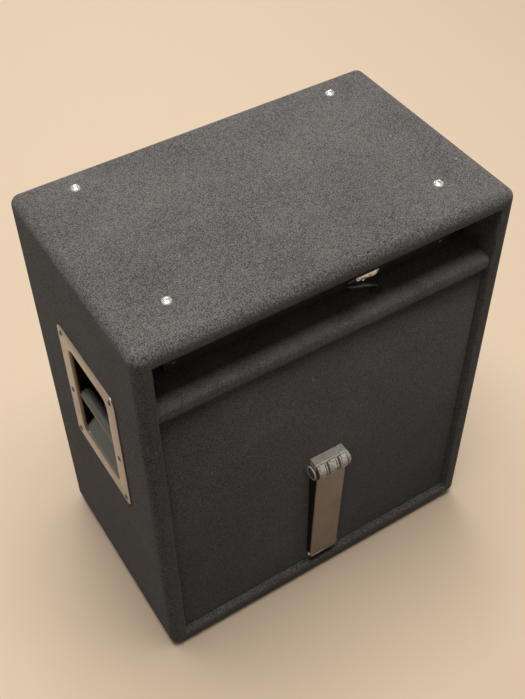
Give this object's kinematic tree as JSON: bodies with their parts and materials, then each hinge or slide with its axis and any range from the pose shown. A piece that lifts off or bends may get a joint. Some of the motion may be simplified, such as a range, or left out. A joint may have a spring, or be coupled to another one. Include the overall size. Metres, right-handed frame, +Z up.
{
  "type": "bass combo amplifier",
  "caption": "Carpeted bass combo: woofer, horn and ports under a steel grille, amplifier in an open bay above, recessed bar handles in the sides and a hinged tilt leg behind.",
  "frame": {"origin": "on the floor, below the middle of the cabinet's width and depth (the tilt leg's foot stands out behind)", "axes": "+Z up, -Y the front with the grille and controls, +Y the back with the tilt leg, +X the side at the right of someone facing the front"},
  "size_m": [0.5646, 0.369, 0.6738],
  "materials": {
    "carpet_cloth": "short-pile charcoal carpet, glued down",
    "plywood": "bare birch plywood",
    "black_ply": "plywood painted flat black",
    "handle_steel": "black semi-gloss powder coat",
    "black_steel": "black enamel",
    "leg_steel": "black semi-gloss enamel",
    "nickel": "bright nickel plate",
    "zinc_steel": "zinc plate",
    "chassis_steel": "black powder coat",
    "panel_paint": "fine-textured black paint",
    "knob_plastic": "black moulded plastic",
    "black_plastic": "black moulded plastic",
    "red_lens": "clear red plastic",
    "board_green": "green lacquered circuit board",
    "yellow_tape": "steel core and copper windings under yellow tape",
    "aluminium": "plain extruded",
    "brass": "polished and slightly tarnished",
    "rubber": "black rubber, dusty",
    "ferrite": "dark grey ferrite and blackened steel",
    "paper_cone": "black pressed paper",
    "spider_cloth": "resin-stiffened cloth",
    "grille_steel": "black powder coat on perforated steel"
  },
  "bodies": {
    "cabinet": {"amp_chassis": "chassis_steel", "amp_shelf": "plywood", "bottom_board": "plywood", "carpet_wrap": "carpet_cloth", "control_board": "board_green", "control_panel": "panel_paint", "front_baffle": "black_ply", "grille": "grille_steel", "handle_left": "handle_steel", "handle_right": "handle_steel", "heatsink": "aluminium", "horn_driver": "ferrite", "horn_flare": "black_plastic", "input_jack": "zinc_steel", "lead_grommet": "rubber", "leg_bracket": "leg_steel", "leg_pin": "nickel", "main_board": "board_green", "mains_inlet": "black_plastic", "port_tube_left": "black_plastic", "port_tube_right": "black_plastic", "power_lamp": "red_lens", "power_switch_body": "black_plastic", "power_transformer": "yellow_tape", "rear_cleats": "plywood", "rear_panel": "plywood", "rear_panel_carpet": "carpet_cloth", "rubber_foot_back_left": "rubber", "rubber_foot_back_right": "rubber", "rubber_foot_front_left": "rubber", "rubber_foot_front_right": "rubber", "shelf_carpet": "carpet_cloth", "side_board_left": "plywood", "side_board_right": "plywood", "speaker_jack": "zinc_steel", "speaker_lead": "black_plastic", "speaker_plug": "brass", "top_board": "plywood", "top_screw_back_left": "nickel", "top_screw_back_right": "nickel", "top_screw_front_left": "nickel", "top_screw_front_right": "nickel", "woofer_basket": "black_steel", "woofer_motor": "ferrite", "woofer_spider": "spider_cloth", "woofer_surround": "rubber"},
    "tilt_leg": {"tilt_leg": "leg_steel", "leg_foot": "rubber"},
    "pad_button": {"pad_button": "knob_plastic"},
    "mute_button": {"mute_button": "knob_plastic"},
    "power_rocker": {"power_rocker": "knob_plastic"},
    "woofer_cone": {"woofer_cone": "paper_cone", "woofer_dust_cap": "paper_cone"},
    "gain_knob": {"gain_knob": "knob_plastic"},
    "bass_knob": {"bass_knob": "knob_plastic"},
    "mid_level_knob": {"mid_level_knob": "knob_plastic"},
    "mid_frequency_knob": {"mid_frequency_knob": "knob_plastic"},
    "treble_knob": {"treble_knob": "knob_plastic"},
    "blend_knob": {"blend_knob": "knob_plastic"},
    "master_knob": {"master_knob": "knob_plastic"}
  },
  "joints": [
    {"name": "tilt_leg_hinge", "type": "hinge", "parent": "cabinet", "child": "tilt_leg", "pos_m": [0, 0.1714, 0.057], "axis": [-1, 0, 0], "range_deg": [0, 65]},
    {"name": "gain_turn", "type": "hinge", "parent": "cabinet", "child": "gain_knob", "pos_m": [-0.148, -0.156, 0.6044], "axis": [0, 1, 0], "range_deg": [-150, 150]},
    {"name": "bass_turn", "type": "hinge", "parent": "cabinet", "child": "bass_knob", "pos_m": [-0.109, -0.156, 0.6044], "axis": [0, 1, 0], "range_deg": [-150, 150]},
    {"name": "mid_level_turn", "type": "hinge", "parent": "cabinet", "child": "mid_level_knob", "pos_m": [-0.07, -0.156, 0.6044], "axis": [0, 1, 0], "range_deg": [-150, 150]},
    {"name": "mid_frequency_turn", "type": "hinge", "parent": "cabinet", "child": "mid_frequency_knob", "pos_m": [-0.031, -0.156, 0.6044], "axis": [0, 1, 0], "range_deg": [-150, 150]},
    {"name": "treble_turn", "type": "hinge", "parent": "cabinet", "child": "treble_knob", "pos_m": [0.008, -0.156, 0.6044], "axis": [0, 1, 0], "range_deg": [-150, 150]},
    {"name": "blend_turn", "type": "hinge", "parent": "cabinet", "child": "blend_knob", "pos_m": [0.047, -0.156, 0.6044], "axis": [0, 1, 0], "range_deg": [-150, 150]},
    {"name": "master_turn", "type": "hinge", "parent": "cabinet", "child": "master_knob", "pos_m": [0.086, -0.156, 0.6044], "axis": [0, 1, 0], "range_deg": [-150, 150]},
    {"name": "pad_press", "type": "slide", "parent": "cabinet", "child": "pad_button", "axis": [0, 1, 0], "range_m": [0, 0.0025], "stiffness_N_per_m": 400, "springref_m": -0.001},
    {"name": "mute_press", "type": "slide", "parent": "cabinet", "child": "mute_button", "axis": [0, 1, 0], "range_m": [0, 0.0025], "stiffness_N_per_m": 400, "springref_m": -0.001},
    {"name": "power_rock", "type": "hinge", "parent": "cabinet", "child": "power_rocker", "pos_m": [0.19, -0.1545, 0.6044], "axis": [-1, 0, 0], "range_deg": [0, 18]},
    {"name": "cone_travel", "type": "slide", "parent": "cabinet", "child": "woofer_cone", "axis": [0, 1, 0], "range_m": [-0.004, 0.004], "stiffness_N_per_m": 5000}
  ]
}
